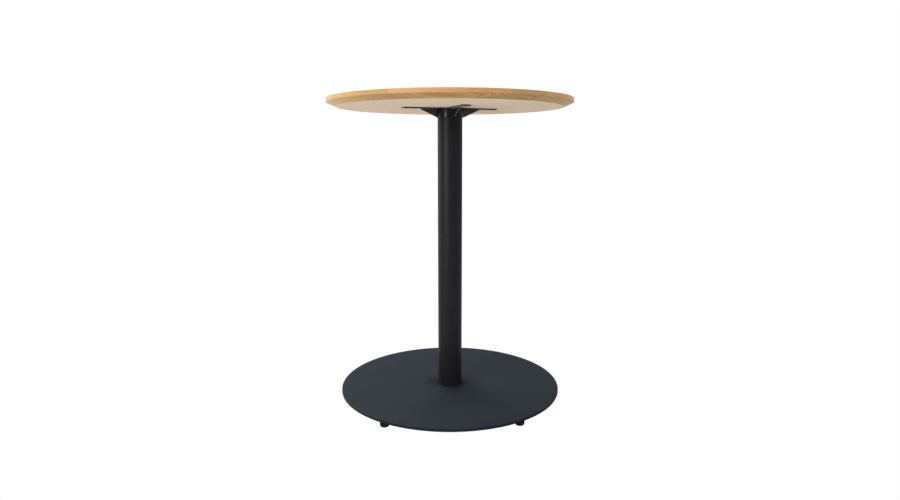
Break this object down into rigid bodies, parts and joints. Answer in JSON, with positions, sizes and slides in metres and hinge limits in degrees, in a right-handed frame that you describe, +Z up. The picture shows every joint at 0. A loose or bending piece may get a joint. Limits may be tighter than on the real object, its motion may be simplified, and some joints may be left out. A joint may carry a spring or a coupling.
{
  "type": "bar table",
  "caption": "Tall round table: bevelled wooden top on a steel cross, tubular column, heavy round base plate and levelling feet.",
  "frame": {"origin": "on the floor below the middle of the table, feet screwed right in", "axes": "+Z up along the column, +X along the grain of the top, -Y towards the picture's camera"},
  "size_m": [0.88, 0.88, 1.1],
  "materials": {
    "ash_top": "clear satin lacquer",
    "black_steel": "fine matt powder coat",
    "zinc_steel": "bright zinc",
    "insert_steel": "zinc",
    "black_screws": "black oxide",
    "foot_steel": "black passivated",
    "foot_plastic": "moulded black"
  },
  "bodies": {
    "table": {"top_stave_01": "ash_top", "top_stave_02": "ash_top", "top_stave_03": "ash_top", "top_stave_04": "ash_top", "top_stave_05": "ash_top", "top_stave_06": "ash_top", "top_stave_07": "ash_top", "top_stave_08": "ash_top", "top_stave_09": "ash_top", "top_stave_10": "ash_top", "top_stave_11": "ash_top", "top_stave_12": "ash_top", "threaded_inserts": "insert_steel", "top_screws": "black_screws", "spider_arm_1": "black_steel", "spider_arm_2": "black_steel", "spider_arm_3": "black_steel", "spider_arm_4": "black_steel", "spider_gusset_1": "black_steel", "spider_gusset_2": "black_steel", "spider_gusset_3": "black_steel", "spider_gusset_4": "black_steel", "spider_collar": "black_steel", "spider_disc": "black_steel", "column_tube": "black_steel", "locating_disc": "black_steel", "base_plate": "black_steel", "foot_bushes": "black_steel", "tie_rod": "zinc_steel", "upper_washer": "zinc_steel", "upper_nut": "zinc_steel", "lower_washer": "zinc_steel", "lower_nut": "zinc_steel"},
    "glide_1": {"foot_glide_1": "foot_plastic"},
    "stud_1": {"foot_stud_1": "foot_steel"},
    "glide_2": {"foot_glide_2": "foot_plastic"},
    "stud_2": {"foot_stud_2": "foot_steel"},
    "glide_3": {"foot_glide_3": "foot_plastic"},
    "stud_3": {"foot_stud_3": "foot_steel"},
    "glide_4": {"foot_glide_4": "foot_plastic"},
    "stud_4": {"foot_stud_4": "foot_steel"},
    "glide_5": {"foot_glide_5": "foot_plastic"},
    "stud_5": {"foot_stud_5": "foot_steel"}
  },
  "joints": [
    {"name": "foot_1_height", "type": "slide", "parent": "table", "child": "glide_1", "axis": [0, 0, -1], "range_m": [0, 0.0075]},
    {"name": "foot_1_turn", "type": "hinge", "parent": "glide_1", "child": "stud_1", "pos_m": [0.36716, 0.13002, 0.0066], "axis": [0, 0, -1], "range_deg": [0, 1801]},
    {"name": "foot_2_height", "type": "slide", "parent": "table", "child": "glide_2", "axis": [0, 0, -1], "range_m": [0, 0.0075]},
    {"name": "foot_2_turn", "type": "hinge", "parent": "glide_2", "child": "stud_2", "pos_m": [-0.0102, 0.38937, 0.0066], "axis": [0, 0, -1], "range_deg": [0, 1801]},
    {"name": "foot_3_height", "type": "slide", "parent": "table", "child": "glide_3", "axis": [0, 0, -1], "range_m": [0, 0.0075]},
    {"name": "foot_3_turn", "type": "hinge", "parent": "glide_3", "child": "stud_3", "pos_m": [-0.37346, 0.11062, 0.0066], "axis": [0, 0, -1], "range_deg": [0, 1801]},
    {"name": "foot_4_height", "type": "slide", "parent": "table", "child": "glide_4", "axis": [0, 0, -1], "range_m": [0, 0.0075]},
    {"name": "foot_4_turn", "type": "hinge", "parent": "glide_4", "child": "stud_4", "pos_m": [-0.22062, -0.321, 0.0066], "axis": [0, 0, -1], "range_deg": [0, 1801]},
    {"name": "foot_5_height", "type": "slide", "parent": "table", "child": "glide_5", "axis": [0, 0, -1], "range_m": [0, 0.0075]},
    {"name": "foot_5_turn", "type": "hinge", "parent": "glide_5", "child": "stud_5", "pos_m": [0.23711, -0.30901, 0.0066], "axis": [0, 0, -1], "range_deg": [0, 1801]}
  ],
  "couplings": [
    {"joint": "foot_1_turn", "follows": "foot_1_height", "rad_per_m": 4188.8},
    {"joint": "foot_2_turn", "follows": "foot_2_height", "rad_per_m": 4188.8},
    {"joint": "foot_3_turn", "follows": "foot_3_height", "rad_per_m": 4188.8},
    {"joint": "foot_4_turn", "follows": "foot_4_height", "rad_per_m": 4188.8},
    {"joint": "foot_5_turn", "follows": "foot_5_height", "rad_per_m": 4188.8}
  ]
}
